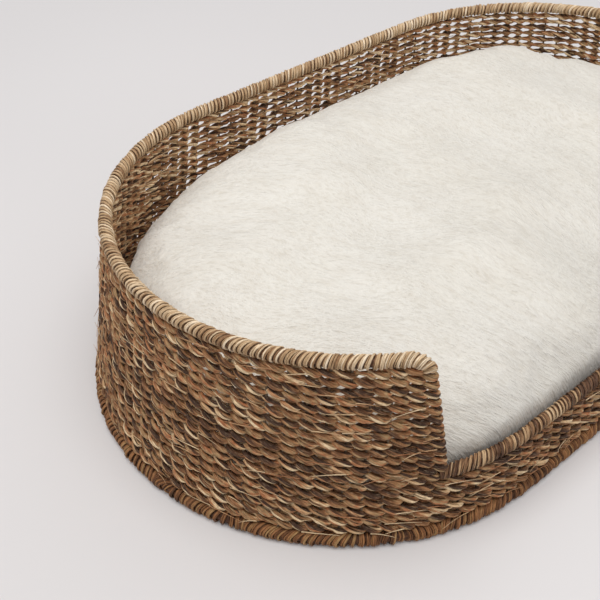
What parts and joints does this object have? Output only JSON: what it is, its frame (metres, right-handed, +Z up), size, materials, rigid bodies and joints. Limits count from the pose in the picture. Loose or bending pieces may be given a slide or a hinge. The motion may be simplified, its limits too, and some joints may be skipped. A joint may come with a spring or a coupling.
{
  "type": "pet bed basket",
  "caption": "Oval woven seagrass pet bed basket on a wire frame, with a low cut-down entrance, wrapped rims and a thick loose plush cushion.",
  "frame": {"origin": "on the floor, under the middle of the base rim's bounding box", "axes": "+Z up, +X along the basket's long axis, the entrance faces -Y"},
  "size_m": [0.8, 0.48, 0.186],
  "materials": {
    "seagrass_rope": "twisted natural seagrass, matte with a dull leaf sheen",
    "rim_cord": "fine pale straw cord, tightly wrapped, matte",
    "base_cord": "coarser brown seagrass cord, matte",
    "frame_wire": "dark painted steel wire, satin",
    "plush_cover": "cream short-pile plush, soft sheen",
    "cushion_panel": "plain woven cotton, matte",
    "cushion_filling": "white polyester fibre"
  },
  "bodies": {
    "basket": {"rim_wire": "frame_wire", "base_ring_wire": "frame_wire", "stake_wires": "frame_wire", "base_cross_wires": "frame_wire", "floor_weave": "seagrass_rope", "weft_row_01": "seagrass_rope", "weft_row_02": "seagrass_rope", "weft_row_03": "seagrass_rope", "weft_row_04": "seagrass_rope", "weft_row_05": "seagrass_rope", "weft_row_06": "seagrass_rope", "weft_row_07": "seagrass_rope", "weft_row_08": "seagrass_rope", "weft_row_09": "seagrass_rope", "weft_row_10": "seagrass_rope", "weft_row_11": "seagrass_rope", "weft_row_12": "seagrass_rope", "weft_row_13": "seagrass_rope", "weft_row_14": "seagrass_rope", "weft_row_15": "seagrass_rope", "weft_row_16": "seagrass_rope", "weft_row_17": "seagrass_rope", "weft_row_18": "seagrass_rope", "weft_row_19": "seagrass_rope", "base_rim_wrap": "base_cord", "entrance_rim_wrap": "rim_cord", "top_rim_wrap": "rim_cord"},
    "cushion": {"cushion_top_cover": "plush_cover", "cushion_filling": "cushion_filling", "cushion_base_panel": "cushion_panel"}
  },
  "joints": [
    {"name": "cushion_lift", "type": "slide", "parent": "basket", "child": "cushion", "axis": [0, 0, 1], "range_m": [0, 0.25]}
  ]
}
